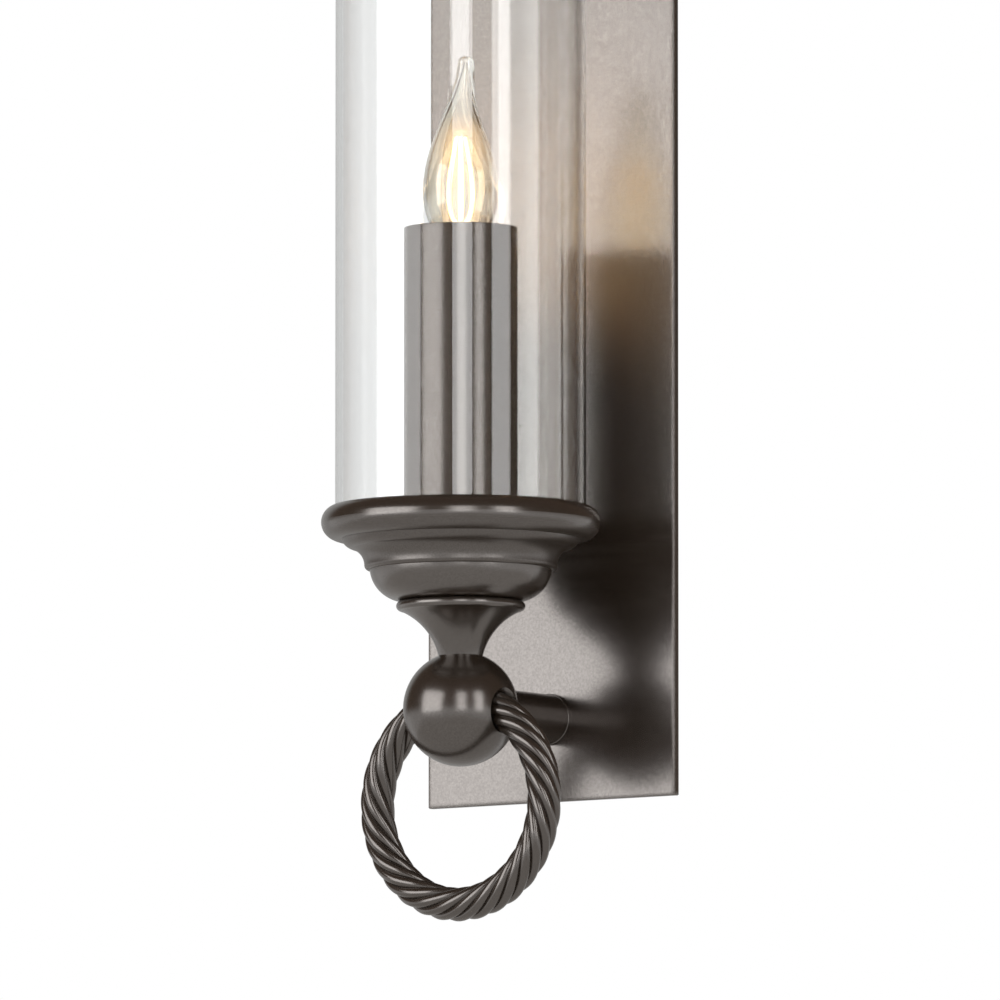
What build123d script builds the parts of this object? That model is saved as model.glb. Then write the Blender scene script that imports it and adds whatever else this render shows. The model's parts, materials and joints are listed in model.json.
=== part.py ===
"""Electric wall sconce in the form of a candle in a glass hurricane, with a twisted rope drop ring.

Frame: +Z up, the wall is the plane Y = 0 and the room is on the -Y side.
The origin is the middle of the wall bracket's slot pattern, on the wall. Millimetres.
"""
import os
from math import cos, pi, radians, sin, sqrt

from build123d import *

# ---- fits ------------------------------------------------------------------
seat_gap = 0.05         # between a loose piece and the face it rests on
screw_clearance = 0.2   # radial, a screw or stud in its clearance hole
thread_clearance = 0.05  # radial, a thread in its nut or tapped hole
slip_clearance = 0.3    # radial, a loose piece over its locating step
seat_margin = 0.15      # radial, a flat on the ball beyond the piece that stands on it

# ---- wall plate and its frame ----------------------------------------------
plate_width = 135.0
plate_height = 457.0
plate_thickness = 4.0
plate_arris = 0.5
frame_inset = 15.0      # from the plate's edge to the frame behind it
frame_depth = 18.0      # from the wall to the back of the plate
frame_wall = 1.5
frame_corner_radius = 6.0
tab_size = 15.0         # of the frame's corner tabs, which carry the plate's studs
stud_radius = 2.0
stud_length = 7.0
nut_flats = 7.0
nut_height = 3.2

# ---- wall bracket ----------------------------------------------------------
bracket_thickness = 2.0
bracket_height = 24.0
bracket_side_gap = 0.5  # between the bracket's ears and the frame's walls
ear_depth = 14.0
slot_spacing = 70.0
slot_length = 14.0
slot_radius = 2.4
bracket_hole_radius = 5.3
side_screw_radius = 2.0
side_screw_length = 7.0
side_screw_head_radius = 3.8
side_screw_head_height = 2.4
side_screw_head_draft = 12  # degrees
driver_slot = 1.0       # width and depth of the slot in a screw's head
ground_screw_x = 19.0
ground_screw_length = 6.0

# ---- arm -------------------------------------------------------------------
axis_to_plate = 69.5    # from the candle's axis to the plate's front face
ball_above_plate_bottom = 37.0
arm_radius = 11.1
arm_wall = 1.5
collar_radius = 11.5
collar_thickness = 2.3
rod_radius = 5.0        # hollow threaded rod, for the leads
rod_bore_radius = 3.5
lead_gap = 2.5          # between a rod's end and the liner across the ball, for the leads
hex_flats = 14.0
hex_height = 5.0
washer_radius = 9.0
washer_thickness = 1.5
rod_tail = 8.5          # rod showing behind the plate

# ---- ball and ring ---------------------------------------------------------
ball_radius = 25.7
ball_wall = 3.0
boss_radius = 8.5       # of the tapped bosses inside the ball
ring_tube_wall = 1.2
ring_radius = 45.5      # to the middle of the rope
ring_drop = 41.8        # from the ball's centre down to the ring's
swing_drop = 2.35       # and down to the line the ring swings about
ring_clearance = 0.3    # round the rope where it passes through the ball
rope_radius = 7.6       # to the crests of the strands
rope_strands = 7
rope_turns = 4          # of the lay, once round the ring
strand_radius = 2.4
sections_per_strand = 4  # of the loft, while the rope turns by one strand

# ---- neck, bowl and dish, as turned profiles above the ball ------------------
neck_foot_radius = 9.9
neck_height = 24.5
neck_lip_radius = 28.8
neck_lip_round = 2.2
neck_curve_out = 0.36   # where the trumpet's curve passes, as shares of its spread and of its height
neck_curve_up = 0.49
bowl_radius = 40.6
bowl_height = 13.95
bowl_round = 15.5
bowl_wall = 1.5
dish_lip_radius = 43.0
dish_lip_round = 2.0
dish_floor = 3.0
dish_spigot = 1.5
cove_height = 9.6
cove_top_radius = 48.3
bead_top_radius = 53.2
bead_top_height = 13.55
bead_bulge = 0.8
rim_radius = 62.3
rim_level = 21.35       # height of the rim's widest line above the dish's foot
dish_height = 28.45
rim_lip_radius = 57.4
rim_lip_drop = 0.4      # of the rim's top towards the glass
ledge_height = 15.4     # of the glass's ledge above the dish's foot
ledge_inner_radius = 46.0
ledge_thickness = 2.6
well_radius = 41.0
well_step = 2.0

# ---- glass -----------------------------------------------------------------
glass_radius = 56.0
glass_wall = 2.8
glass_height = 304.0
glass_fit = 0.7         # radial gap between the glass and the dish's wall
gasket_thickness = 1.5
gasket_width = 6.0

# ---- candle ----------------------------------------------------------------
sleeve_radius = 25.4
sleeve_wall = 1.0
sleeve_length = 147.3
sleeve_edge = 0.3
seat_disc_thickness = 3.0
seat_disc_overhang = 1.6
seat_step_height = 4.0

# ---- lamp holder -----------------------------------------------------------
holder_radius = 10.6
holder_cap_height = 12.0
holder_cap_wall = 1.2
holder_cap_floor = 5.2
holder_cap_round = 2.0
rod_in_cap = 7.2        # from the cap's foot up to the rod's end
holder_height = 26.0
holder_floor = 5.0
holder_top_round = 1.0
holder_below_rim = 13.0  # from the sleeve's top down to the holder's top
shell_clearance = 0.25
shell_wall = 0.4
shell_lead = 1.0        # how far the shell reaches below the bulb's base
spring_thickness = 0.6
spring_width = 5.0
spring_rise = 2.4
spring_end_gap = 1.5    # between the spring's ends and the holder's bore

# ---- bulb ------------------------------------------------------------------
base_radius = 5.85
base_wall = 0.5
base_length = 14.5
cement_gap = 0.1        # radial, between the base's wall and what is set in it
insulator_height = 3.5
insulator_foot_radius = 3.3
contact_radius = 2.3
contact_height = 1.5
contact_round = 0.6
bulb_length = 108.7     # from the contact's foot to the bent tip
bulb_wall = 1.7
bulb_radius = 17.0
glass_skirt = 3.0       # of the glass's foot inside the base
flame_outline = (       # shares of the glass's height over its base and of its widest radius
    (0.06, 0.50), (0.17, 0.86), (0.305, 1.0), (0.42, 0.95), (0.52, 0.83), (0.61, 0.665),
    (0.72, 0.45), (0.80, 0.32), (0.87, 0.285), (0.93, 0.255), (0.975, 0.20))
tip_radius = 2.2
tip_lean = 3.3          # how far the bent tip stands off the bulb's axis
tip_azimuth = 36.0      # the way it leans, from +X towards +Y
lean_start = 0.70       # share of the glass's height where the lean starts
hollow_end = 0.87       # and where the hollow inside it ends
stem_height = 17.0
stem_draft = 6          # degrees
filament_count = 6
filament_radius = 0.9
filament_length = 38.0
filament_circle = 6.2
wire_radius = 0.3
wheel_thickness = 0.6    # of the spoked wires that carry the filaments' ends

# ---- places worked out from the sizes ----------------------------------------
ear_screw_y = -(ear_depth + bracket_thickness) / 2
plate_back_y = -frame_depth
plate_front_y = plate_back_y - plate_thickness
axis_y = plate_front_y - axis_to_plate
plate_bottom_z = -plate_height / 2
ball_z = plate_bottom_z + ball_above_plate_bottom
frame_width = plate_width - 2 * frame_inset
frame_height = plate_height - 2 * frame_inset

rod_hole = rod_radius + screw_clearance
ball_top_seat = sqrt(ball_radius**2 - (neck_foot_radius + seat_margin) ** 2)
ball_back_seat = sqrt(ball_radius**2 - (arm_radius + seat_margin) ** 2)
neck_z = ball_z + ball_top_seat
bowl_z = neck_z + neck_height
dish_z = bowl_z + bowl_height
floor_z = dish_z + dish_floor
disc_z = floor_z + seat_disc_thickness
sleeve_z = disc_z + seat_gap
sleeve_top_z = sleeve_z + sleeve_length
ledge_z = dish_z + ledge_height
glass_z = ledge_z + gasket_thickness + seat_gap
holder_top_z = sleeve_top_z - holder_below_rim
holder_z = holder_top_z - holder_height
cap_z = holder_z - holder_cap_height
rod_top_z = cap_z + rod_in_cap
contact_z = holder_z + holder_floor + spring_rise + seat_gap
insulator_z = contact_z + contact_height
base_z = insulator_z + insulator_height
glass_foot_z = base_z + base_length
tip_z = contact_z + bulb_length

swing_centre = (0, axis_y, ball_z - swing_drop)
ring_hang = ring_drop - swing_drop
liner_radius = ring_radius + rope_radius + ring_clearance + ring_tube_wall - ring_hang
centre_rod_z = ball_z - swing_drop + liner_radius + lead_gap
arm_rod_y = axis_y + liner_radius + lead_gap

ball_centre = (0, axis_y, ball_z)
turning_line = Axis(ball_centre, (0, 0, 1))
candle_axis = Plane((0, axis_y, 0), x_dir=(1, 0, 0), z_dir=(0, -1, 0))  # profiles: x = radius, y = height


def level(height):
    """The horizontal plane at that height, centred on the candle's axis."""
    return Plane((0, axis_y, height))


def facing_wall(y, z=0.0, x=0.0):
    """An upright plane at that distance from the wall, looking back into it."""
    return Plane((x, y, z), x_dir=(-1, 0, 0), z_dir=(0, 1, 0))


os.makedirs("parts", exist_ok=True)


def save(part, name):
    """Labels a finished piece and writes its file."""
    part.label = name
    export_step(part, f"parts/{name}.step")


# ---- wall bracket: a steel strip with folded ears, slotted for the outlet box --------
ear_outside = frame_width / 2 - frame_wall - bracket_side_gap
with BuildPart() as wall_bracket:
    with BuildSketch(facing_wall(-bracket_thickness)):
        Rectangle(2 * ear_outside, bracket_height)
        with GridLocations(slot_spacing, 0, 2, 1):
            SlotOverall(slot_length, slot_radius * 2, mode=Mode.SUBTRACT)
        Circle(bracket_hole_radius, mode=Mode.SUBTRACT)
        with Locations((-ground_screw_x, 0)):
            Circle(side_screw_radius + thread_clearance, mode=Mode.SUBTRACT)
    extrude(amount=bracket_thickness)
    with BuildSketch(Plane.XY.offset(-bracket_height / 2)):
        with GridLocations(2 * ear_outside - bracket_thickness, 0, 2, 1):
            with Locations((0, -(ear_depth + bracket_thickness) / 2)):
                Rectangle(bracket_thickness, ear_depth - bracket_thickness)
    extrude(amount=bracket_height)
    fillet(wall_bracket.edges().filter_by(Axis.Z).group_by(Axis.Y)[0], bracket_thickness / 3)
    with Locations(Plane((0, ear_screw_y, 0), z_dir=(1, 0, 0))):
        Cylinder(side_screw_radius + thread_clearance, 3 * frame_width, mode=Mode.SUBTRACT)
save(wall_bracket.part, "wall_bracket")

# ---- ground screw in the bracket ---------------------------------------------
with BuildPart() as ground_screw:
    with BuildSketch(facing_wall(-bracket_thickness, x=ground_screw_x)):
        Circle(side_screw_radius)
    extrude(amount=ground_screw_length - bracket_thickness)
    with BuildSketch(facing_wall(-bracket_thickness, x=ground_screw_x)):
        Circle(side_screw_head_radius)
    extrude(amount=-side_screw_head_height)
    fillet(ground_screw.edges().group_by(Axis.Y)[0], side_screw_head_height / 3)
    with BuildSketch(facing_wall(-bracket_thickness - side_screw_head_height, x=ground_screw_x)):
        Rectangle(side_screw_head_radius * 2, driver_slot)
    extrude(amount=driver_slot, mode=Mode.SUBTRACT)
save(ground_screw.part, "ground_screw")

# ---- side screws: hold the frame on the bracket's ears ------------------------------
with BuildPart() as side_screws:
    for side in (-1, 1):
        head_plane = Plane((side * frame_width / 2, ear_screw_y, 0), z_dir=(side, 0, 0))
        with BuildSketch(head_plane):
            Circle(side_screw_radius)
        extrude(amount=-side_screw_length)
        with BuildSketch(head_plane):
            Circle(side_screw_head_radius)
        extrude(amount=side_screw_head_height, taper=side_screw_head_draft)
        with BuildSketch(head_plane.offset(side_screw_head_height)):
            Rectangle(side_screw_head_radius * 2, driver_slot)
        extrude(amount=-driver_slot, mode=Mode.SUBTRACT)
save(side_screws.part, "side_screws")

# ---- rear frame: folded strip with corner tabs, welded into a shallow box ---------------
tab_x = frame_width / 2 - frame_wall - tab_size / 2
tab_z = frame_height / 2 - frame_wall - tab_size / 2
with BuildPart() as rear_frame:
    with BuildSketch(facing_wall(plate_back_y)):
        RectangleRounded(frame_width, frame_height, frame_corner_radius)
        offset(amount=-frame_wall, mode=Mode.SUBTRACT)
    extrude(amount=frame_depth)
    with BuildSketch(facing_wall(plate_back_y)):
        with GridLocations(2 * tab_x, 2 * tab_z, 2, 2):
            Rectangle(tab_size, tab_size)
            Circle(stud_radius + screw_clearance, mode=Mode.SUBTRACT)
        with BuildSketch(mode=Mode.INTERSECT):
            RectangleRounded(frame_width, frame_height, frame_corner_radius)
    extrude(amount=frame_wall)
    with Locations(Plane((0, ear_screw_y, 0), z_dir=(1, 0, 0))):
        Cylinder(side_screw_radius + screw_clearance, 3 * frame_width, mode=Mode.SUBTRACT)
save(rear_frame.part, "rear_frame")

# ---- welded studs and their nuts -------------------------------------------------
with BuildPart() as frame_studs:
    with BuildSketch(facing_wall(plate_back_y)):
        with GridLocations(2 * tab_x, 2 * tab_z, 2, 2):
            Circle(stud_radius)
    extrude(amount=stud_length)
save(frame_studs.part, "frame_studs")

with BuildPart() as frame_nuts:
    with BuildSketch(facing_wall(plate_back_y + frame_wall)):
        with GridLocations(2 * tab_x, 2 * tab_z, 2, 2):
            RegularPolygon(nut_flats / 2, 6, major_radius=False)
            Circle(stud_radius + thread_clearance, mode=Mode.SUBTRACT)
    extrude(amount=nut_height)
save(frame_nuts.part, "frame_nuts")

# ---- backplate ---------------------------------------------------------------
with BuildPart() as backplate:
    with BuildSketch(facing_wall(plate_front_y)):
        Rectangle(plate_width, plate_height)
        with Locations((0, ball_z)):
            Circle(rod_hole, mode=Mode.SUBTRACT)
    extrude(amount=plate_thickness)
    chamfer(backplate.edges().filter_by(GeomType.LINE), plate_arris)
save(backplate.part, "backplate")

# ---- arm: tube, collar and the hollow rod that draws them together ----------------------
with BuildPart() as arm_tube:
    with BuildSketch(facing_wall(axis_y + ball_back_seat, ball_z)):
        Circle(arm_radius)
        Circle(arm_radius - arm_wall, mode=Mode.SUBTRACT)
    extrude(amount=axis_to_plate - ball_back_seat - collar_thickness)
save(arm_tube.part, "arm_tube")

with BuildPart() as arm_collar:
    with BuildSketch(facing_wall(plate_front_y - collar_thickness, ball_z)):
        Circle(collar_radius)
        Circle(rod_hole, mode=Mode.SUBTRACT)
    extrude(amount=collar_thickness)
    fillet(arm_collar.edges().filter_by(GeomType.CIRCLE).group_by(Axis.Y)[0].sort_by(SortBy.RADIUS)[-1],
           (collar_radius - arm_radius) * 0.9)
save(arm_collar.part, "arm_collar")

with BuildPart() as arm_rod:
    with BuildSketch(facing_wall(arm_rod_y, ball_z)):
        Circle(rod_radius)
        Circle(rod_bore_radius, mode=Mode.SUBTRACT)
    extrude(amount=plate_back_y + rod_tail - arm_rod_y)
save(arm_rod.part, "arm_rod")

with BuildPart() as arm_washer:
    with BuildSketch(facing_wall(plate_back_y, ball_z)):
        Circle(washer_radius)
        Circle(rod_hole, mode=Mode.SUBTRACT)
    extrude(amount=washer_thickness)
save(arm_washer.part, "arm_washer")

with BuildPart() as arm_nut:
    with BuildSketch(facing_wall(plate_back_y + washer_thickness, ball_z)):
        RegularPolygon(hex_flats / 2, 6, major_radius=False)
        Circle(rod_radius + thread_clearance, mode=Mode.SUBTRACT)
    extrude(amount=hex_height)
save(arm_nut.part, "arm_nut")

def ring_sweep(gap):
    """What the ring fills inside the ball as it swings all round, with that gap about the rope."""
    outer, inner = ring_radius + rope_radius + gap, ring_radius - rope_radius - gap
    throat_level = (4 * ring_hang**2 + outer**2 - inner**2) / (4 * ring_hang)  # over the ring's middle
    throat_x, throat_radius = sqrt(outer**2 - throat_level**2), throat_level - ring_hang
    flare = [(x, ring_hang - sqrt(inner**2 - x**2)) for x in ((throat_x + ball_radius) / 2, ball_radius)]
    with BuildPart() as sweep:
        with BuildSketch(Plane(swing_centre, x_dir=(1, 0, 0), z_dir=(0, -1, 0))):
            with BuildLine():
                shoulder = (throat_x / 2, sqrt(outer**2 - throat_x**2 / 4) - ring_hang)
                ThreePointArc((0, outer - ring_hang), shoulder, (throat_x, throat_radius))
                ThreePointArc((throat_x, throat_radius), *flare)
                Polyline(flare[1], (ball_radius, 0), (0, 0), (0, outer - ring_hang))
            make_face()
            mirror(about=Plane.YZ)
        revolve(axis=Axis(swing_centre, (1, 0, 0)))
    return sweep.part


# ---- ball: hollow, with tapped bosses at the top and back and a way through for the ring --------
with BuildPart() as ball:
    with Locations(ball_centre):
        Sphere(ball_radius)
        Sphere(ball_radius - ball_wall, mode=Mode.SUBTRACT)
    for boss_plane, reach in ((level(centre_rod_z), ball_z - centre_rod_z),
                              (facing_wall(arm_rod_y, ball_z), axis_y - arm_rod_y)):
        with BuildSketch(boss_plane):
            Circle(boss_radius)
        extrude(amount=ball_radius - ball_wall / 2 + reach)
    for seat_plane in (level(ball_z + ball_top_seat), facing_wall(axis_y + ball_back_seat, ball_z)):
        with BuildSketch(seat_plane):
            Circle(ball_radius)
        extrude(amount=ball_radius, mode=Mode.SUBTRACT)
    for thread_plane in (level(ball_z), facing_wall(axis_y, ball_z)):
        with BuildSketch(thread_plane):
            Circle(rod_radius + thread_clearance)
        extrude(amount=ball_radius, mode=Mode.SUBTRACT)
    add(ring_sweep(ring_clearance + ring_tube_wall + thread_clearance / 2), mode=Mode.SUBTRACT)
save(ball.part, "ball")

# ---- liner across the ball: a barrel with flared mouths, its ends dressed to the sphere --------
with BuildPart() as ring_tube:
    add(ring_sweep(ring_clearance + ring_tube_wall))
    with Locations(ball_centre):
        Sphere(ball_radius, mode=Mode.INTERSECT)
    add(ring_sweep(ring_clearance), mode=Mode.SUBTRACT)
save(ring_tube.part, "ring_tube")

# ---- drop ring: twisted rope, hanging loosely in the liner's mouths ---------------
ring_centre = Vector(0, axis_y, ball_z - ring_drop)
lay_radius = rope_radius - strand_radius
half_strand = pi / rope_strands
valley_radius = lay_radius * cos(half_strand) + sqrt(strand_radius**2 - (lay_radius * sin(half_strand)) ** 2)


def round_rope(radius, angle):
    """A point of the rope's section, at that radius and angle from the rope's middle."""
    return (radius * cos(angle), radius * sin(angle))


def rope_section(ring_angle, twist):
    """The rope's section at that angle round the ring from its foot: an arc for each strand."""
    outward = Vector(sin(ring_angle), 0, -cos(ring_angle))
    along = Vector(cos(ring_angle), 0, sin(ring_angle))
    with BuildSketch(Plane(ring_centre + outward * ring_radius, x_dir=outward, z_dir=along)) as section:
        with BuildLine():
            for strand in range(rope_strands):
                crest = twist + strand * 2 * half_strand
                ThreePointArc(round_rope(valley_radius, crest - half_strand), round_rope(rope_radius, crest),
                              round_rope(valley_radius, crest + half_strand))
        make_face()
    return section.sketch


twist_step = 2 * half_strand / sections_per_strand
with BuildPart() as rope_turn:
    loft([rope_section(place * twist_step / rope_turns, -place * twist_step)
          for place in range(rope_strands * sections_per_strand + 1)])
with BuildPart() as drop_ring:
    for turn in range(rope_turns):
        add(rope_turn.part.rotate(Axis(ring_centre, (0, 1, 0)), turn * 360 / rope_turns))
save(drop_ring.part, "drop_ring")

# ---- neck: a trumpet with a rounded lip -------------------------------------------
lip_centre_r = neck_lip_radius - neck_lip_round
lip_top = (lip_centre_r, bowl_z)
lip_under = (lip_centre_r, bowl_z - 2 * neck_lip_round)
with BuildPart() as neck:
    with BuildSketch(candle_axis):
        with BuildLine():
            Line((rod_hole, neck_z), (neck_foot_radius, neck_z))
            ThreePointArc((neck_foot_radius, neck_z),
                          (neck_foot_radius + neck_curve_out * (lip_centre_r - neck_foot_radius),
                           neck_z + neck_curve_up * neck_height),
                          lip_under)
            ThreePointArc(lip_under, (neck_lip_radius, bowl_z - neck_lip_round), lip_top)
            Polyline(lip_top, (rod_hole, bowl_z), (rod_hole, neck_z))
        make_face()
    revolve(axis=turning_line)
save(neck.part, "neck")

# ---- bowl: a spun shell under the dish ------------------------------------------
def bowl_width(height, inset=0.0):
    """The bowl's radius at that height over its foot, that far inside its outer face."""
    return flat_r + sqrt((bowl_round - inset) ** 2 - (bowl_round - height) ** 2)


flat_r = bowl_radius - sqrt(bowl_round**2 - (bowl_round - bowl_height) ** 2)
with BuildPart() as bowl:
    with BuildSketch(candle_axis):
        with BuildLine():
            for inset in (0.0, bowl_wall):
                brim = (bowl_width(bowl_height, inset), dish_z)
                RadiusArc((flat_r, bowl_z + inset), brim, inset - bowl_round)
                Line((rod_hole, bowl_z + inset), (flat_r, bowl_z + inset))
            Line((bowl_width(bowl_height), dish_z), (bowl_width(bowl_height, bowl_wall), dish_z))
            Line((rod_hole, bowl_z), (rod_hole, bowl_z + bowl_wall))
        make_face()
    revolve(axis=turning_line)
save(bowl.part, "bowl")

# ---- dish: lip, cove, bead and rolled rim, with a ledge for the glass ------------------
dish_wall_radius = glass_radius + glass_fit
spigot_r = bowl_width(bowl_height - dish_spigot, bowl_wall) - slip_clearance
lip_r = dish_lip_radius - dish_lip_round
rim_side = (rim_radius, dish_z + rim_level)
with BuildPart() as dish:
    with BuildSketch(candle_axis):
        with BuildLine():
            Polyline((rod_hole, floor_z), (rod_hole, dish_z - dish_spigot), (spigot_r, dish_z - dish_spigot),
                     (spigot_r, dish_z), (lip_r, dish_z))
            lip = CenterArc((lip_r, dish_z + dish_lip_round), dish_lip_round, -90, 90)
            cove = TangentArc(lip @ 1, (cove_top_radius, dish_z + cove_height), tangent=(0, 1))
            bead = SagittaArc(cove @ 1, (bead_top_radius, dish_z + bead_top_height), -bead_bulge)
            TangentArc(rim_side, bead @ 1, tangent=(0, -1))
            TangentArc(rim_side, (rim_lip_radius, dish_z + dish_height), tangent=(0, 1))
            Polyline((rim_lip_radius, dish_z + dish_height),
                     (dish_wall_radius, dish_z + dish_height - rim_lip_drop),
                     (dish_wall_radius, ledge_z), (ledge_inner_radius, ledge_z),
                     (ledge_inner_radius, ledge_z - ledge_thickness), (well_radius, floor_z + well_step),
                     (well_radius, floor_z), (rod_hole, floor_z))
        make_face()
    revolve(axis=turning_line)
save(dish.part, "dish")

# ---- gasket under the glass -----------------------------------------------------
gasket_radius = glass_radius + glass_fit / 2
with BuildPart() as glass_gasket:
    with BuildSketch(level(ledge_z)):
        Circle(gasket_radius)
        Circle(gasket_radius - gasket_width, mode=Mode.SUBTRACT)
    extrude(amount=gasket_thickness)
save(glass_gasket.part, "glass_gasket")

# ---- glass: a plain cylinder, open at both ends ------------------------------------
with BuildPart() as glass_shade:
    with BuildSketch(level(glass_z)):
        Circle(glass_radius)
        Circle(glass_radius - glass_wall, mode=Mode.SUBTRACT)
    extrude(amount=glass_height)
    chamfer(glass_shade.edges(), glass_wall * 0.2)
save(glass_shade.part, "glass_shade")

# ---- sleeve seat: disc that centres the candle sleeve -------------------------------
step_radius = sleeve_radius - sleeve_wall - slip_clearance
with BuildPart() as sleeve_seat:
    with BuildSketch(level(floor_z)):
        Circle(sleeve_radius + seat_disc_overhang)
    extrude(amount=seat_disc_thickness)
    with BuildSketch(level(disc_z)):
        Circle(step_radius)
    extrude(amount=seat_step_height)
    with BuildSketch(level(floor_z)):
        Circle(rod_hole)
    extrude(amount=seat_disc_thickness + seat_step_height, mode=Mode.SUBTRACT)
save(sleeve_seat.part, "sleeve_seat")

# ---- centre rod, with the washer and nut that clamp the stack on the ball ---------------
stack_z = disc_z + seat_step_height
with BuildPart() as centre_rod:
    with BuildSketch(level(centre_rod_z)):
        Circle(rod_radius)
        Circle(rod_bore_radius, mode=Mode.SUBTRACT)
    extrude(amount=rod_top_z - centre_rod_z)
save(centre_rod.part, "centre_rod")

with BuildPart() as stack_washer:
    with BuildSketch(level(stack_z)):
        Circle(washer_radius)
        Circle(rod_hole, mode=Mode.SUBTRACT)
    extrude(amount=washer_thickness)
save(stack_washer.part, "stack_washer")

with BuildPart() as stack_nut:
    with BuildSketch(level(stack_z + washer_thickness)):
        RegularPolygon(hex_flats / 2, 6, major_radius=False)
        Circle(rod_radius + thread_clearance, mode=Mode.SUBTRACT)
    extrude(amount=hex_height)
save(stack_nut.part, "stack_nut")

# ---- candle sleeve: slips over the lamp holder onto its seat ---------------------------
with BuildPart() as candle_sleeve:
    with BuildSketch(level(sleeve_z)):
        Circle(sleeve_radius)
        Circle(sleeve_radius - sleeve_wall, mode=Mode.SUBTRACT)
    extrude(amount=sleeve_length)
    chamfer(candle_sleeve.edges().group_by(Axis.Z)[-1], sleeve_edge)
save(candle_sleeve.part, "candle_sleeve")

# ---- lamp holder: brass cap on the rod, moulded body, screw shell and contact spring ---------
with BuildPart() as holder_cap:
    with BuildSketch(level(cap_z)):
        Circle(holder_radius)
    extrude(amount=holder_cap_height)
    fillet(holder_cap.edges().group_by(Axis.Z)[0], holder_cap_round)
    with BuildSketch(level(cap_z + holder_cap_floor)):
        Circle(holder_radius - holder_cap_wall)
    extrude(amount=holder_cap_height, mode=Mode.SUBTRACT)
    with BuildSketch(level(cap_z)):
        Circle(rod_radius + thread_clearance)
    extrude(amount=holder_cap_height, mode=Mode.SUBTRACT)
save(holder_cap.part, "holder_cap")

holder_bore = base_radius + shell_clearance + shell_wall + thread_clearance
with BuildPart() as holder_body:
    with BuildSketch(level(holder_z)):
        Circle(holder_radius)
    extrude(amount=holder_height)
    fillet(holder_body.edges().group_by(Axis.Z)[-1], holder_top_round)
    with BuildSketch(level(holder_z + holder_floor)):
        Circle(holder_bore)
    extrude(amount=holder_height, mode=Mode.SUBTRACT)
save(holder_body.part, "holder_body")

with BuildPart() as holder_shell:
    with BuildSketch(level(base_z - shell_lead)):
        Circle(base_radius + shell_clearance + shell_wall)
        Circle(base_radius + shell_clearance, mode=Mode.SUBTRACT)
    extrude(amount=holder_top_z - base_z)
save(holder_shell.part, "holder_shell")

spring_z = holder_z + holder_floor
tongue_z = spring_z + spring_rise
spring_end = holder_bore - spring_end_gap
with BuildPart() as contact_spring:
    with BuildSketch(candle_axis):
        with BuildLine():
            Polyline((-spring_end, spring_z), (spring_end, spring_z),
                     (spring_end, spring_z + spring_thickness),
                     (-contact_radius + spring_thickness, spring_z + spring_thickness),
                     (-contact_radius + spring_thickness, tongue_z - spring_thickness),
                     (contact_radius, tongue_z - spring_thickness), (contact_radius, tongue_z),
                     (-contact_radius, tongue_z), (-contact_radius, spring_z + spring_thickness),
                     (-spring_end, spring_z + spring_thickness), (-spring_end, spring_z))
        make_face()
    extrude(amount=spring_width / 2, both=True)
save(contact_spring.part, "contact_spring")

# ---- bulb base: screw shell, insulator and centre contact ------------------------------
with BuildPart() as bulb_contact:
    with BuildSketch(level(contact_z)):
        Circle(contact_radius)
    extrude(amount=contact_height - seat_gap)
    fillet(bulb_contact.edges().group_by(Axis.Z)[0], contact_round)
save(bulb_contact.part, "bulb_contact")

base_inside = base_radius - base_wall
with BuildPart() as bulb_insulator:
    with BuildSketch(level(insulator_z)):
        Circle(insulator_foot_radius)
    with BuildSketch(level(base_z)):
        Circle(base_inside - cement_gap)
    loft()
save(bulb_insulator.part, "bulb_insulator")

with BuildPart() as bulb_base:
    with BuildSketch(level(base_z)):
        Circle(base_radius)
    extrude(amount=base_length)
    with BuildSketch(level(base_z)):
        Circle(base_inside)
    extrude(amount=base_length, mode=Mode.SUBTRACT)
    fillet(bulb_base.edges().group_by(Axis.Z)[0].sort_by(SortBy.RADIUS)[-1], base_wall * 0.8)
save(bulb_base.part, "bulb_base")

# ---- bulb glass: a flame drawn out to a bent tip, open at the foot ----------------------
foot_radius = base_inside - cement_gap
flame_height = tip_z - glass_foot_z


def flame_section(rise, radius):
    """A round section of the glass at that share of its height, off the axis as the bent tip is."""
    bend = max(0.0, (rise - lean_start) / (1 - lean_start))
    lean = tip_lean * (1 - cos(pi * bend)) / 2
    with BuildSketch(level(glass_foot_z + rise * flame_height)) as section:
        with Locations((lean * cos(radians(tip_azimuth)), lean * sin(radians(tip_azimuth)))):
            Circle(radius)
    return section.sketch


def flame(inset, end):
    """Sections from the glass's foot to its end, that far inside the outer face."""
    foot = flame_section(0.0, foot_radius - inset)
    return [foot] + [flame_section(rise, share * bulb_radius - inset)
                     for rise, share in flame_outline if rise <= end]


with BuildPart() as bulb_glass:
    with BuildSketch(level(glass_foot_z - glass_skirt)):
        Circle(foot_radius)
    extrude(amount=glass_skirt)
    loft(flame(0.0, 1.0) + [flame_section(1.0, tip_radius)])
    fillet(bulb_glass.edges().group_by(Axis.Z)[-1], tip_radius * 0.8)
    with BuildSketch(level(glass_foot_z - glass_skirt)):
        Circle(foot_radius - bulb_wall)
    extrude(amount=glass_skirt, mode=Mode.SUBTRACT)
    loft(flame(bulb_wall, hollow_end), mode=Mode.SUBTRACT)
save(bulb_glass.part, "bulb_glass")

# ---- stem, filaments and their wires, sealed in the bulb -------------------------------
stem_radius = foot_radius - bulb_wall - cement_gap
with BuildPart() as bulb_stem:
    with BuildSketch(level(glass_foot_z - glass_skirt)):
        Circle(stem_radius)
    extrude(amount=stem_height, taper=stem_draft)
save(bulb_stem.part, "bulb_stem")

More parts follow.
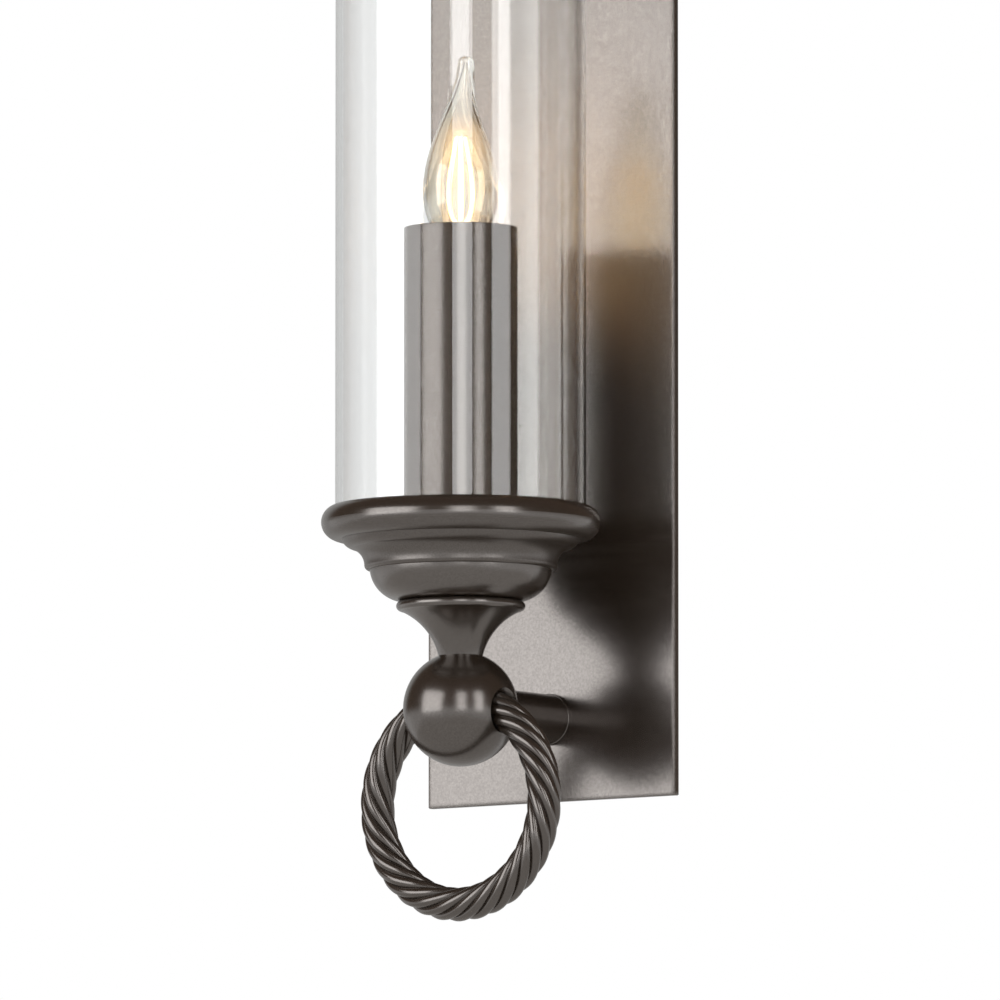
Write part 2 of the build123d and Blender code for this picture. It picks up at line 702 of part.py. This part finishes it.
wheel_z = glass_foot_z + stem_height - glass_skirt
filament_z = wheel_z + wheel_thickness
wheel_outside = filament_circle + filament_radius
with BuildPart() as filament_wires:
    for wheel_level in (wheel_z, filament_z + filament_length):
        with BuildSketch(level(wheel_level)):
            Circle(wheel_outside)
            Circle(filament_circle - filament_radius, mode=Mode.SUBTRACT)
            with PolarLocations(0, filament_count // 2):
                Rectangle(wheel_outside, 2 * wire_radius, align=(Align.MIN, Align.CENTER))
        extrude(amount=wheel_thickness)
save(filament_wires.part, "filament_wires")

with BuildPart() as filaments:
    with BuildSketch(level(filament_z)):
        with PolarLocations(filament_circle, filament_count):
            Circle(filament_radius)
    extrude(amount=filament_length)
save(filaments.part, "filaments")
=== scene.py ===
"""Finish, light and camera for the candle wall sconce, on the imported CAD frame.

Metres. +Z up, the wall is the plane Y = 0 and the room is on the -Y side.
"""
import json
import math

import bmesh
import bpy
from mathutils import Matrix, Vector


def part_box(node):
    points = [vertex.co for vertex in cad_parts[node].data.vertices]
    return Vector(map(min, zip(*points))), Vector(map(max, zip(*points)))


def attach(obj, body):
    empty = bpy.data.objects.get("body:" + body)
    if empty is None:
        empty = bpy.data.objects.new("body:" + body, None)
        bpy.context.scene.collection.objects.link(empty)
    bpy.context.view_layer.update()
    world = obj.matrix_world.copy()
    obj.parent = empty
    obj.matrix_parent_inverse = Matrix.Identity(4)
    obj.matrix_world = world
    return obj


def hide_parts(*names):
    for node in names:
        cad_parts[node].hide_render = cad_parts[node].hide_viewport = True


MM = 0.001

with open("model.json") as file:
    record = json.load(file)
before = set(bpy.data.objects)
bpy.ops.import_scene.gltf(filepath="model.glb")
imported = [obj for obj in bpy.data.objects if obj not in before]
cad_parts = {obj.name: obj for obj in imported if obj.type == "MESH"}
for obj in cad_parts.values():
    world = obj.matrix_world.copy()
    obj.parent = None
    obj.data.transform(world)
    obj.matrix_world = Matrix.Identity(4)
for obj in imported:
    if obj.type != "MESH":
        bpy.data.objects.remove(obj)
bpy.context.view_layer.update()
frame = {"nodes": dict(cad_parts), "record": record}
nodes = frame["nodes"]


# ---- places taken from the frame -------------------------------------------------
def middle(node):
    low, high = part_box(node)
    return (low + high) / 2


candle = middle("neck")
ball_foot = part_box("ball")[0]
ball = Vector((candle.x, candle.y, ball_foot.z + candle.y - ball_foot.y))
filament_low, filament_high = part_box("filaments")
filament_middle = (filament_low + filament_high) / 2


# ---- small tools -----------------------------------------------------------------
def add(tree, kind, inputs=None, **settings):
    """Adds a node with its settings; an input is a value or another node's output."""
    node = tree.nodes.new(kind)
    for name, value in settings.items():
        setattr(node, name, value)
    for name, value in (inputs or {}).items():
        if isinstance(value, bpy.types.NodeSocket):
            tree.links.new(value, node.inputs[name])
        else:
            node.inputs[name].default_value = value
    return node


def colour(code):
    """An sRGB hex colour as the linear values that the shaders take."""
    channels = [int(code[place:place + 2], 16) / 255 for place in (1, 3, 5)]
    return [c / 12.92 if c <= 0.04045 else ((c + 0.055) / 1.055) ** 2.4 for c in channels] + [1.0]


def new_material(name):
    """An empty material, its tree and its output node."""
    material = bpy.data.materials.new(name)
    material.use_nodes = True
    tree = material.node_tree
    tree.nodes.clear()
    return material, tree, add(tree, "ShaderNodeOutputMaterial")


# ---- materials -------------------------------------------------------------------
def grained(tree, code, roughness, metallic, grain_mm, grain_depth_mm, mottle, eased=0.0):
    """The grain that working leaves on a surface: in its tone, in its gloss and in its relief.

    Mottle is how far the tone strays from its mean, as a share; the roughness strays less.
    Eased is the radius to which blasting and rubbing have rounded the arrises.
    """
    grain_low, grain_high, gloss_mottle = 0.3, 0.7, 0.4
    place = add(tree, "ShaderNodeTexCoord").outputs["Object"]
    grain = add(tree, "ShaderNodeTexNoise", {"Vector": place, "Scale": 1 / (grain_mm * MM), "Detail": 1.0})
    share = add(tree, "ShaderNodeMapRange", {
        "Value": grain.outputs[0], "From Min": grain_low, "From Max": grain_high,
        "To Min": 1 - mottle, "To Max": 1 + mottle})
    tone = add(tree, "ShaderNodeVectorMath", {0: colour(code)[:3], "Scale": share.outputs["Result"]},
               operation="SCALE")
    gloss = add(tree, "ShaderNodeMath", {0: share.outputs["Result"], 1: gloss_mottle * roughness,
                                         2: (1 - gloss_mottle) * roughness}, operation="MULTIPLY_ADD")
    bump = add(tree, "ShaderNodeBump", {"Height": grain.outputs[0], "Distance": grain_depth_mm * MM,
                                        "Strength": 1.0})
    if eased:
        arris = add(tree, "ShaderNodeBevel", {"Radius": eased})
        tree.links.new(arris.outputs["Normal"], bump.inputs["Normal"])
    return add(tree, "ShaderNodeBsdfPrincipled", {
        "Base Color": tone.outputs["Vector"], "Metallic": metallic, "Roughness": gloss.outputs[0],
        "Normal": bump.outputs["Normal"]})


def satin_bronze(name, code, roughness, grain_mm, grain_depth_mm, mottle, buffed=None, eased=0.0):
    """Dark bronze plate over steel, bead blasted or brushed, darkened and waxed.

    The brown patina covers a seventh of the metal and scatters light from all round. Buffed
    gives the height of a buffed top, the drop below it in which the gloss falls off, and the
    roughness lower down.
    """
    patina_share = 0.15
    material, tree, output = new_material(name)
    metal = grained(tree, code, roughness, 1.0, grain_mm, grain_depth_mm, mottle, eased)
    if buffed:
        height, drop, dull = buffed
        at = add(tree, "ShaderNodeSeparateXYZ", {0: add(tree, "ShaderNodeTexCoord").outputs["Object"]})
        fall = add(tree, "ShaderNodeMapRange", {"Value": at.outputs["Z"], "From Min": height - drop,
                                                "From Max": height, "To Min": dull, "To Max": roughness})
        tree.links.new(fall.outputs["Result"], metal.inputs["Roughness"])
    patina = add(tree, "ShaderNodeBsdfDiffuse", {"Color": colour("#5A4A3C")})
    waxed = add(tree, "ShaderNodeMixShader", {0: patina_share, 1: metal.outputs["BSDF"],
                                              2: patina.outputs["BSDF"]})
    tree.links.new(waxed.outputs["Shader"], output.inputs["Surface"])
    return material


def worked(name, code, roughness, metallic, grain_mm, grain_depth_mm, mottle):
    """Plated, cast, rolled or moulded stock, told apart by its grain."""
    material, tree, output = new_material(name)
    surface = grained(tree, code, roughness, metallic, grain_mm, grain_depth_mm, mottle)
    tree.links.new(surface.outputs["BSDF"], output.inputs["Surface"])
    return material


def clear_glass(name, code, index, glow=0.0):
    """Fire polished glass; it lets light straight through in place of a dark shadow.

    The glow is painted light: an emission on the glass in place of the filaments' light that a
    lit bulb's glass scatters. It fades with the distance from them, more slowly upwards, and
    towards the glass's edges.
    """
    material, tree, output = new_material(name)
    glass = add(tree, "ShaderNodeBsdfPrincipled", {"Base Color": colour(code), "Roughness": 0.0,
                                                   "IOR": index, "Transmission Weight": 1.0})
    if glow:
        core, reach, upright_share, focus = 7 * MM, 17 * MM, 0.5, 3.0
        place = add(tree, "ShaderNodeTexCoord").outputs["Object"]
        from_middle = add(tree, "ShaderNodeVectorMath", {0: place, 1: filament_middle}, operation="SUBTRACT")
        flattened = add(tree, "ShaderNodeVectorMath", {0: from_middle.outputs["Vector"],
                                                       1: (1.0, 1.0, upright_share)}, operation="MULTIPLY")
        away = add(tree, "ShaderNodeVectorMath", {0: flattened.outputs["Vector"]}, operation="LENGTH")
        near = add(tree, "ShaderNodeMapRange", {"Value": away.outputs["Value"], "From Min": core,
                                                "From Max": reach, "To Min": glow, "To Max": 0.0},
                   interpolation_type="SMOOTHSTEP")
        edge = add(tree, "ShaderNodeLayerWeight", {"Blend": 0.5}).outputs["Facing"]
        frontal = add(tree, "ShaderNodeMath", {0: 1.0, 1: edge}, operation="SUBTRACT").outputs[0]
        middling = add(tree, "ShaderNodeMath", {0: frontal, 1: focus}, operation="POWER").outputs[0]
        shine = add(tree, "ShaderNodeMath", {0: middling, 1: near.outputs["Result"]}, operation="MULTIPLY")
        # Painted glow: the glass itself emits, most near the filaments and where it faces the eye.
        glass.inputs["Emission Color"].default_value = colour("#FFC060")
        tree.links.new(shine.outputs[0], glass.inputs["Emission Strength"])
    passing = add(tree, "ShaderNodeBsdfTransparent", {"Color": colour(code)})
    ray = add(tree, "ShaderNodeLightPath")
    mix = add(tree, "ShaderNodeMixShader", {0: ray.outputs["Is Shadow Ray"], 1: glass.outputs["BSDF"],
                                            2: passing.outputs["BSDF"]})
    tree.links.new(mix.outputs["Shader"], output.inputs["Surface"])
    return material


def lit_phosphor(name, middle_code, edge_code, strength):
    """Phosphor on the filament rods, lit: white hot where it faces the eye, amber at its edges."""
    material, tree, output = new_material(name)
    edge = add(tree, "ShaderNodeLayerWeight", {"Blend": 0.4})
    tint = add(tree, "ShaderNodeMix", {0: edge.outputs["Facing"], 6: colour(middle_code),
                                       7: colour(edge_code)}, data_type="RGBA")
    surface = add(tree, "ShaderNodeEmission", {"Color": tint.outputs[2], "Strength": strength})
    tree.links.new(surface.outputs["Emission"], output.inputs["Surface"])
    return material


plate_bronze = satin_bronze("blasted bronze plate", "#6E6B69", 0.20, 0.9, 0.0013, 0.12, eased=2.4 * MM)
frame_bronze = satin_bronze("folded bronze frame", "#6E6B69", 0.20, 0.9, 0.0013, 0.12)
turned_bronze = satin_bronze("turned bronze", "#686563", 0.23, 0.7, 0.0018, 0.12)
dish_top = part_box("dish")[1].z
dish_bronze = satin_bronze("turned bronze, buffed at the rim", "#686563", 0.23, 0.7, 0.0018, 0.12,
                           (dish_top - 9 * MM, 4 * MM, 0.34))
cup_bronze = satin_bronze("scratch brushed bronze", "#6E6B69", 0.25, 0.7, 0.0018, 0.10)
sleeve_bronze = satin_bronze("bronze tube", "#666361", 0.21, 0.7, 0.0012, 0.08)
rope_bronze = satin_bronze("polished bronze rope", "#676462", 0.22, 0.8, 0.001, 0.03)
zinc = worked("bright zinc plate", "#B9BAB8", 0.35, 1.0, 1.5, 0.004, 0.12)
green_zinc = worked("green dyed zinc", "#2F7A45", 0.4, 0.8, 1.5, 0.004, 0.12)
brass = worked("turned brass", "#C9A35A", 0.3, 1.0, 0.5, 0.002, 0.06)
phenolic = worked("moulded phenolic", "#25211E", 0.4, 0.0, 0.7, 0.010, 0.10)
silicone = worked("clear silicone rubber", "#C9C9C4", 0.5, 0.0, 0.4, 0.010, 0.04)
nickel = worked("rolled nickel plate", "#C2BDB4", 0.25, 1.0, 0.6, 0.001, 0.05)
solder = worked("dull solder", "#A9A9AA", 0.5, 1.0, 0.8, 0.020, 0.12)
black_glass = worked("black base glass", "#101012", 0.1, 0.0, 1.2, 0.002, 0.10)
shade_glass = clear_glass("drawn borosilicate glass", "#FDFEFE", 1.5)
lamp_glass = clear_glass("blown bulb glass", "#FFFDF6", 1.5, 0.95)
phosphor = lit_phosphor("lit yellow phosphor", "#FFE9B8", "#F0A040", 3.0)

finish_of_slot = {
    "zinc_steel": zinc, "ground_screw": green_zinc, "bronze_hardware": turned_bronze,
    "bronze_frame": frame_bronze, "bronze_plate": plate_bronze, "bronze_arm": turned_bronze,
    "bronze_turned": turned_bronze, "bronze_seat": turned_bronze, "bronze_sleeve": sleeve_bronze,
    "bronze_rope": rope_bronze, "brass": brass, "phenolic": phenolic, "clear_silicone": silicone,
    "shade_glass": shade_glass, "bulb_glass": lamp_glass, "base_glass": black_glass,
    "base_glass_clear": lamp_glass, "nickel": nickel, "nickel_wire": nickel, "solder": solder,
    "filament": phosphor,
}
finish_of_node = {"neck": cup_bronze, "bowl": cup_bronze, "dish": dish_bronze}
for part in frame["record"]["subparts"]:
    mesh = nodes[part["node"]].data
    mesh.materials.clear()
    mesh.materials.append(finish_of_node.get(part["node"], finish_of_slot[part["material_slot"]]))


# ---- pieces that are grown along a path ----------------------------------------------
def path_tree(name, numbers):
    """A Geometry Nodes tree with those named number inputs, and the outputs that feed from them."""
    tree = bpy.data.node_groups.new(name, "GeometryNodeTree")
    tree.interface.new_socket("Geometry", in_out="OUTPUT", socket_type="NodeSocketGeometry")
    for number in numbers:
        kind = "NodeSocketInt" if number in ("Strands", "Turns", "Steps") else "NodeSocketFloat"
        tree.interface.new_socket(number, in_out="INPUT", socket_type=kind)
    tree.interface.new_socket("Middle", in_out="INPUT", socket_type="NodeSocketVector")
    tree.interface.new_socket("Material", in_out="INPUT", socket_type="NodeSocketMaterial")
    return tree, add(tree, "NodeGroupInput").outputs


def sums(tree, operation, *values):
    """One step of arithmetic on numbers or other nodes' outputs."""
    return add(tree, "ShaderNodeMath", dict(enumerate(values)), operation=operation).outputs[0]


def end_tree(tree, given, geometry):
    """Makes the copies real, coats them and hands them out of the tree."""
    real = add(tree, "GeometryNodeRealizeInstances", {"Geometry": geometry})
    coated = add(tree, "GeometryNodeSetMaterial", {"Geometry": real.outputs[0],
                                                   "Material": given["Material"]})
    add(tree, "NodeGroupOutput", {"Geometry": coated.outputs[0]})


def finish_strands(tree, given, curve, place):
    """Moves the strands to their places, gives them their thickness and ends the tree."""
    moved = add(tree, "GeometryNodeSetPosition", {"Geometry": curve, "Position": place})
    profile = add(tree, "GeometryNodeCurvePrimitiveCircle", {"Resolution": 16,
                                                             "Radius": given["Strand radius"]})
    tubes = add(tree, "GeometryNodeCurveToMesh", {
        "Curve": moved.outputs["Geometry"], "Profile Curve": profile.outputs["Curve"], "Fill Caps": True})
    smooth = add(tree, "GeometryNodeSetShadeSmooth", {"Geometry": tubes.outputs["Mesh"]})
    end_tree(tree, given, smooth.outputs[0])


def rope_tree():
    """Strands laid round a ring that stands across Y, each a closed coil about the ring's middle line."""
    tree, given = path_tree("rope ring", ("Ring radius", "Lay radius", "Strand radius", "Strands",
                                          "Turns", "Steps"))
    ring = add(tree, "GeometryNodeCurvePrimitiveCircle", {"Resolution": given["Steps"],
                                                          "Radius": given["Ring radius"]})
    copies = add(tree, "GeometryNodeDuplicateElements", {"Geometry": ring.outputs["Curve"],
                                                         "Amount": given["Strands"]}, domain="SPLINE")
    at = add(tree, "ShaderNodeSeparateXYZ", {0: add(tree, "GeometryNodeInputPosition").outputs[0]}).outputs
    round_ring = sums(tree, "ARCTAN2", at["Y"], at["X"])
    share = sums(tree, "DIVIDE", copies.outputs["Duplicate Index"], given["Strands"])
    coil = sums(tree, "SUBTRACT", sums(tree, "MULTIPLY", share, math.tau),
                sums(tree, "MULTIPLY", round_ring, given["Turns"]))
    radius = sums(tree, "MULTIPLY_ADD", sums(tree, "COSINE", coil), given["Lay radius"], given["Ring radius"])
    place = add(tree, "ShaderNodeCombineXYZ", {
        "X": sums(tree, "MULTIPLY", radius, sums(tree, "COSINE", round_ring)),
        "Y": sums(tree, "MULTIPLY", given["Lay radius"], sums(tree, "SINE", coil)),
        "Z": sums(tree, "MULTIPLY", radius, sums(tree, "SINE", round_ring))})
    placed = add(tree, "ShaderNodeVectorMath", {0: place.outputs[0], 1: given["Middle"]}, operation="ADD")
    finish_strands(tree, given, copies.outputs["Geometry"], placed.outputs["Vector"])
    return tree


def bundle_tree():
    """Upright strands round an axis, close together at their ends and bowed out below the middle."""
    tree, given = path_tree("bowed bundle", ("Height", "End radius", "Bow", "Lean", "Strand radius",
                                             "Strands", "Steps"))
    top = add(tree, "ShaderNodeCombineXYZ", {"Z": given["Height"]})
    line = add(tree, "GeometryNodeCurvePrimitiveLine", {"End": top.outputs[0]})
    fine = add(tree, "GeometryNodeResampleCurve", {"Curve": line.outputs["Curve"], "Count": given["Steps"]})
    copies = add(tree, "GeometryNodeDuplicateElements", {"Geometry": fine.outputs["Curve"],
                                                         "Amount": given["Strands"]}, domain="SPLINE")
    at = add(tree, "ShaderNodeSeparateXYZ", {0: add(tree, "GeometryNodeInputPosition").outputs[0]}).outputs
    rise = sums(tree, "POWER", sums(tree, "DIVIDE", at["Z"], given["Height"]), given["Lean"])
    bow = sums(tree, "SINE", sums(tree, "MULTIPLY", rise, math.pi))
    radius = sums(tree, "MULTIPLY_ADD", bow, given["Bow"], given["End radius"])
    share = sums(tree, "DIVIDE", copies.outputs["Duplicate Index"], given["Strands"])
    turn = sums(tree, "MULTIPLY", share, math.tau)
    place = add(tree, "ShaderNodeCombineXYZ", {
        "X": sums(tree, "MULTIPLY", radius, sums(tree, "COSINE", turn)),
        "Y": sums(tree, "MULTIPLY", radius, sums(tree, "SINE", turn)), "Z": at["Z"]})
    placed = add(tree, "ShaderNodeVectorMath", {0: place.outputs[0], 1: given["Middle"]}, operation="ADD")
    finish_strands(tree, given, copies.outputs["Geometry"], placed.outputs["Vector"])
    return tree


def plates_tree():
    """Two round plates, one at the foot of a height and one at its top."""
    tree, given = path_tree("end plates", ("Height", "Radius", "Thickness"))
    plate = add(tree, "GeometryNodeMeshCylinder", {"Vertices": 32, "Radius": given["Radius"],
                                                   "Depth": given["Thickness"]})
    inside = sums(tree, "MULTIPLY", given["Thickness"], 0.5)
    both = add(tree, "GeometryNodeJoinGeometry")
    for level in (inside, sums(tree, "SUBTRACT", given["Height"], inside)):
        rise = add(tree, "ShaderNodeCombineXYZ", {"Z": level})
        place = add(tree, "ShaderNodeVectorMath", {0: rise.outputs[0], 1: given["Middle"]}, operation="ADD")
        set_there = add(tree, "GeometryNodeTransform", {"Geometry": plate.outputs["Mesh"],
                                                        "Translation": place.outputs["Vector"]})
        tree.links.new(set_there.outputs["Geometry"], both.inputs["Geometry"])
    end_tree(tree, given, both.outputs[0])
    return tree


def grow(name, tree, body, slot, replaced, **values):
    """Makes the piece that a tree describes, as a plain mesh that moves with its body."""
    seed = bpy.data.objects.new(name, bpy.data.meshes.new(name))
    bpy.context.scene.collection.objects.link(seed)
    modifier = seed.modifiers.new(name, "NODES")
    modifier.node_group = tree
    for socket in tree.interface.items_tree:
        if socket.in_out == "INPUT":
            modifier[socket.identifier] = values[socket.name.lower().replace(" ", "_")]
    bpy.context.view_layer.update()
    grown = bpy.data.meshes.new_from_object(seed.evaluated_get(bpy.context.evaluated_depsgraph_get()))
    seed.modifiers.remove(modifier)
    seed.data = grown
    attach(seed, body)
    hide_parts(replaced)
    return seed


ring_low, ring_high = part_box("drop_ring")
rope_radius = (ring_high.y - ring_low.y) / 2
strand_radius = 2.4 * MM
grow("rope_ring", rope_tree(), "ring", "bronze_rope", "drop_ring",
     ring_radius=(ring_high.x - ring_low.x) / 2 - rope_radius, lay_radius=rope_radius - strand_radius,
     strand_radius=strand_radius, strands=7, turns=4, steps=336, middle=(ring_low + ring_high) / 2,
     material=rope_bronze)

rod_radius = 0.9 * MM
rod_circle = 2.2 * MM
grow("filament_rods", bundle_tree(), "bulb", "filament", "filaments", height=filament_high.z - filament_low.z,
     end_radius=rod_circle, bow=3.9 * MM, lean=0.62, strand_radius=rod_radius, strands=6, steps=24,
     middle=Vector((candle.x, candle.y, filament_low.z)), material=phosphor)
wire_low, wire_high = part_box("filament_wires")
grow("rod_plates", plates_tree(), "bulb", "nickel_wire", "filament_wires", height=wire_high.z - wire_low.z,
     radius=rod_circle + rod_radius, thickness=filament_low.z - wire_low.z,
     middle=Vector((candle.x, candle.y, wire_low.z)), material=nickel)


# ---- the blown bulb ------------------------------------------------------------------
# The flame's outline: shares of its height, each with a share of its widest radius.
FLAME = ((0.0, 0.31), (0.06, 0.50), (0.17, 0.86), (0.305, 1.0), (0.42, 0.95), (0.52, 0.83), (0.61, 0.665),
         (0.72, 0.45), (0.80, 0.33), (0.87, 0.27), (0.93, 0.24), (0.975, 0.21))


def between(points, at):
    """The height of a smooth line through the points, at that distance along."""
    last = len(points) - 2
    span = next((i for i in range(last) if at < points[i + 1][0]), last)
    (x0, y0), (x1, y1) = points[span], points[span + 1]

    def slope(i):
        before, after = points[max(i - 1, 0)], points[min(i + 1, last + 1)]
        return (after[1] - before[1]) / (after[0] - before[0])

    width, t = x1 - x0, (at - x0) / (x1 - x0)
    return ((1 + 2 * t) * (1 - t) ** 2 * y0 + t * (1 - t) ** 2 * width * slope(span)
            + t * t * (3 - 2 * t) * y1 + t * t * (t - 1) * width * slope(span + 1))


def blown_bulb(low, high, skirt, wall, tip_lean, lean_azimuth):
    """A flame drawn out to a bent tip, its hollow running on into the tip."""
    widest, height, foot = (high.x - low.x) / 2, high.z - low.z - skirt, low.z + skirt
    shoulder, bend_start, hollow_top, (tip_start, tip_share) = 0.60, 0.66, 0.97, FLAME[-1]
    sides, levels, smallest = 48, 72, 0.02 * MM
    lean_way = Vector((math.cos(lean_azimuth), math.sin(lean_azimuth), 0.0))

    def outside(rise):
        if rise > tip_start:
            past = (rise - tip_start) / (1 - tip_start)
            return tip_share * widest * math.sqrt(max(0.0, 1 - past ** 2))
        return between(FLAME, max(rise, 0.0)) * widest

    def hollow(rise):
        taper = max(0.0, rise - shoulder) / (hollow_top - shoulder)
        return (outside(rise) - wall) * math.sqrt(max(0.0, 1 - taper ** 2))

    def rings(radius_at, top):
        made = []
        for step in range(levels + 1):
            rise = -skirt / height + (top + skirt / height) * math.sin(math.pi / 2 * step / levels)
            bend = max(0.0, (rise - bend_start) / (1 - bend_start))
            lean = tip_lean * (1 - math.cos(math.pi * bend)) / 2
            centre = Vector((candle.x, candle.y, foot + rise * height)) + lean * lean_way
            radius = max(radius_at(rise), smallest)
            made.append([shell.verts.new(centre + radius * Vector((math.cos(turn), math.sin(turn), 0.0)))
                         for turn in (math.tau * k / sides for k in range(sides))])
        return made

    def skin(first, second):
        for k in range(sides):
            shell.faces.new((first[k - 1], first[k], second[k], second[k - 1]))

    shell = bmesh.new()
    outer, inner = rings(outside, 1.0), rings(hollow, hollow_top)
    for wall_rings in (outer, inner):
        for below, above in zip(wall_rings, wall_rings[1:]):
            skin(below, above)
        shell.faces.new(wall_rings[-1])
    skin(outer[0], inner[0])
    bmesh.ops.recalc_face_normals(shell, faces=shell.faces)
    for face in shell.faces:
        face.smooth = True
    mesh = bpy.data.meshes.new("blown_bulb")
    shell.to_mesh(mesh)
    shell.free()
    mesh.materials.append(lamp_glass)
    blown = bpy.data.objects.new("blown_bulb", mesh)
    bpy.context.scene.collection.objects.link(blown)
    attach(blown, "bulb")
    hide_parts("bulb_glass")


blown_bulb(*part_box("bulb_glass"), skirt=3.0 * MM, wall=1.5 * MM, tip_lean=2.3 * MM,
           lean_azimuth=math.radians(36))


# ---- the direction of the view -----------------------------------------------------
azimuth, elevation = math.radians(35.3), math.radians(-5.5)
back = Vector((math.sin(azimuth) * math.cos(elevation), -math.cos(azimuth) * math.cos(elevation),
               math.sin(elevation)))
right = Vector((math.cos(azimuth), math.sin(azimuth), 0))
up = back.cross(right)


# ---- light -----------------------------------------------------------------------
def softbox(name, azimuth, elevation, width, height, distance, radiance):
    """A tall softbox that only glossy surfaces see; the world lights the rest.

    Its place and its size are in degrees, as seen from the ball.
    """
    light = bpy.data.lights.new(name, "AREA")
    light.shape = "RECTANGLE"
    light.size = 2 * distance * math.tan(math.radians(width / 2))
    light.size_y = 2 * distance * math.tan(math.radians(height / 2))
    light.energy = radiance * math.pi * light.size * light.size_y
    lamp = bpy.data.objects.new(name, light)
    bpy.context.scene.collection.objects.link(lamp)
    turn, rise = math.radians(azimuth), math.radians(elevation)
    out = Vector((math.sin(turn) * math.cos(rise), -math.cos(turn) * math.cos(rise), math.sin(rise)))
    lamp.location = ball + out * distance
    lamp.rotation_euler = (-out).to_track_quat("-Z", "Y").to_euler()
    lamp.visible_camera = False
    lamp.visible_diffuse = False
    return lamp


box_elevation, box_height, box_distance = 11.5, 35.0, 2.5
softbox("left softbox", -25.0, box_elevation, 45.0, box_height, box_distance, 3.6)
softbox("middle softbox", 36.8, box_elevation, 18.0, box_height, box_distance, 3.3)
softbox("right softbox", 73.0, box_elevation, 17.0, box_height, box_distance, 3.6)


def bulb_lamp(name, power, radius, code, shiny):
    """The bulb's light: one lamp for what scatters it and one for what mirrors it."""
    light = bpy.data.lights.new(name, "POINT")
    light.energy = power
    light.shadow_soft_size = radius
    light.color = colour(code)[:3]
    lamp = bpy.data.objects.new(name, light)
    bpy.context.scene.collection.objects.link(lamp)
    lamp.location = filament_middle
    lamp.visible_camera = False
    lamp.visible_transmission = False
    lamp.visible_diffuse = not shiny
    lamp.visible_glossy = shiny
    return lamp


bulb_lamp("bulb glow", 4.2, 9 * MM, "#FFF4E4", False)
bulb_lamp("bulb glint", 0.17, 22 * MM, "#FFDDB0", True)

# The eye sees a white backdrop, past the object or through clear glass. What mirrors light
# sees a dark room above the horizon, white below it and a pale grey wall behind the object;
# so does light that has gone through more surfaces of glass than the clear passes, as in the
# bulb inside the cylinder. What scatters light sees plain white all round.
soft_horizon = 0.05
wall_edge_cosine, wall_cosine = 0.72, 0.80
clear_passes = 5.5
world = bpy.data.worlds.new("studio")
bpy.context.scene.world = world
world.use_nodes = True
tree = world.node_tree
tree.nodes.clear()
ray = add(tree, "ShaderNodeLightPath")
sky = add(tree, "ShaderNodeTexCoord")
direction = add(tree, "ShaderNodeSeparateXYZ", {0: sky.outputs["Generated"]})
overhead = add(tree, "ShaderNodeMapRange", {
    "Value": direction.outputs["Z"], "From Min": -soft_horizon, "From Max": soft_horizon})
ceiling = add(tree, "ShaderNodeMix", {0: overhead.outputs["Result"], 6: colour("#FFFFFF"),
                                      7: colour("#6A5A4E")}, data_type="RGBA")
facing = add(tree, "ShaderNodeVectorMath", {0: sky.outputs["Generated"], 1: -back}, operation="DOT_PRODUCT")
behind = add(tree, "ShaderNodeMapRange", {
    "Value": facing.outputs["Value"], "From Min": wall_edge_cosine, "From Max": wall_cosine})
around = add(tree, "ShaderNodeMix", {0: behind.outputs["Result"], 6: ceiling.outputs[2],
                                     7: colour("#CDCDCC")}, data_type="RGBA")
bounced = add(tree, "ShaderNodeMath", {0: ray.outputs["Glossy Depth"], 1: ray.outputs["Diffuse Depth"]},
              operation="ADD")
through = add(tree, "ShaderNodeMath", {0: ray.outputs["Transmission Depth"], 1: clear_passes},
              operation="GREATER_THAN")
turned = add(tree, "ShaderNodeMath", {0: bounced.outputs[0], 1: through.outputs[0]}, operation="ADD")
seen = add(tree, "ShaderNodeMath", {0: turned.outputs[0], 1: 0.5}, operation="LESS_THAN")
mirror = add(tree, "ShaderNodeMath", {0: ray.outputs["Diffuse Depth"], 1: 0.5}, operation="LESS_THAN")
room = add(tree, "ShaderNodeBackground", {"Color": colour("#FFFFFF"), "Strength": 0.9})
mirrored = add(tree, "ShaderNodeBackground", {"Color": around.outputs[2], "Strength": 1.0})
backdrop = add(tree, "ShaderNodeBackground", {"Color": colour("#FFFFFF"), "Strength": 1.0})
lit = add(tree, "ShaderNodeMixShader", {0: mirror.outputs[0], 1: room.outputs[0], 2: mirrored.outputs[0]})
shown = add(tree, "ShaderNodeMixShader", {0: seen.outputs[0], 1: lit.outputs[0], 2: backdrop.outputs[0]})
add(tree, "ShaderNodeOutputWorld", {"Surface": shown.outputs[0]})

floor_size, floor_drop, floor_forward = 8.0, 1.6, 1.0
bpy.ops.mesh.primitive_plane_add(size=floor_size, location=(0, -floor_forward, ball.z - floor_drop))
floor = bpy.context.object
floor.name = "floor"
floor.data.materials.append(worked("pale studio floor", "#ECEAE7", 0.9, 0.0, 6.0, 0.050, 0.01))

# ---- camera ----------------------------------------------------------------------
camera_distance = 8.46
view_width = 0.4455
sensor_width = 36.0
aim_right, aim_up = 0.0393 * view_width, 0.2089 * view_width
target = ball + right * aim_right + up * aim_up
camera = bpy.data.objects.new("camera", bpy.data.cameras.new("camera"))
bpy.context.scene.collection.objects.link(camera)
camera.data.sensor_width = sensor_width
camera.data.lens = sensor_width * camera_distance / view_width
camera.location = target + back * camera_distance
camera.rotation_euler = (-back).to_track_quat("-Z", "Y").to_euler()
camera.data.clip_end = 50.0
bpy.context.scene.camera = camera

bpy.context.scene.view_settings.view_transform = "Standard"
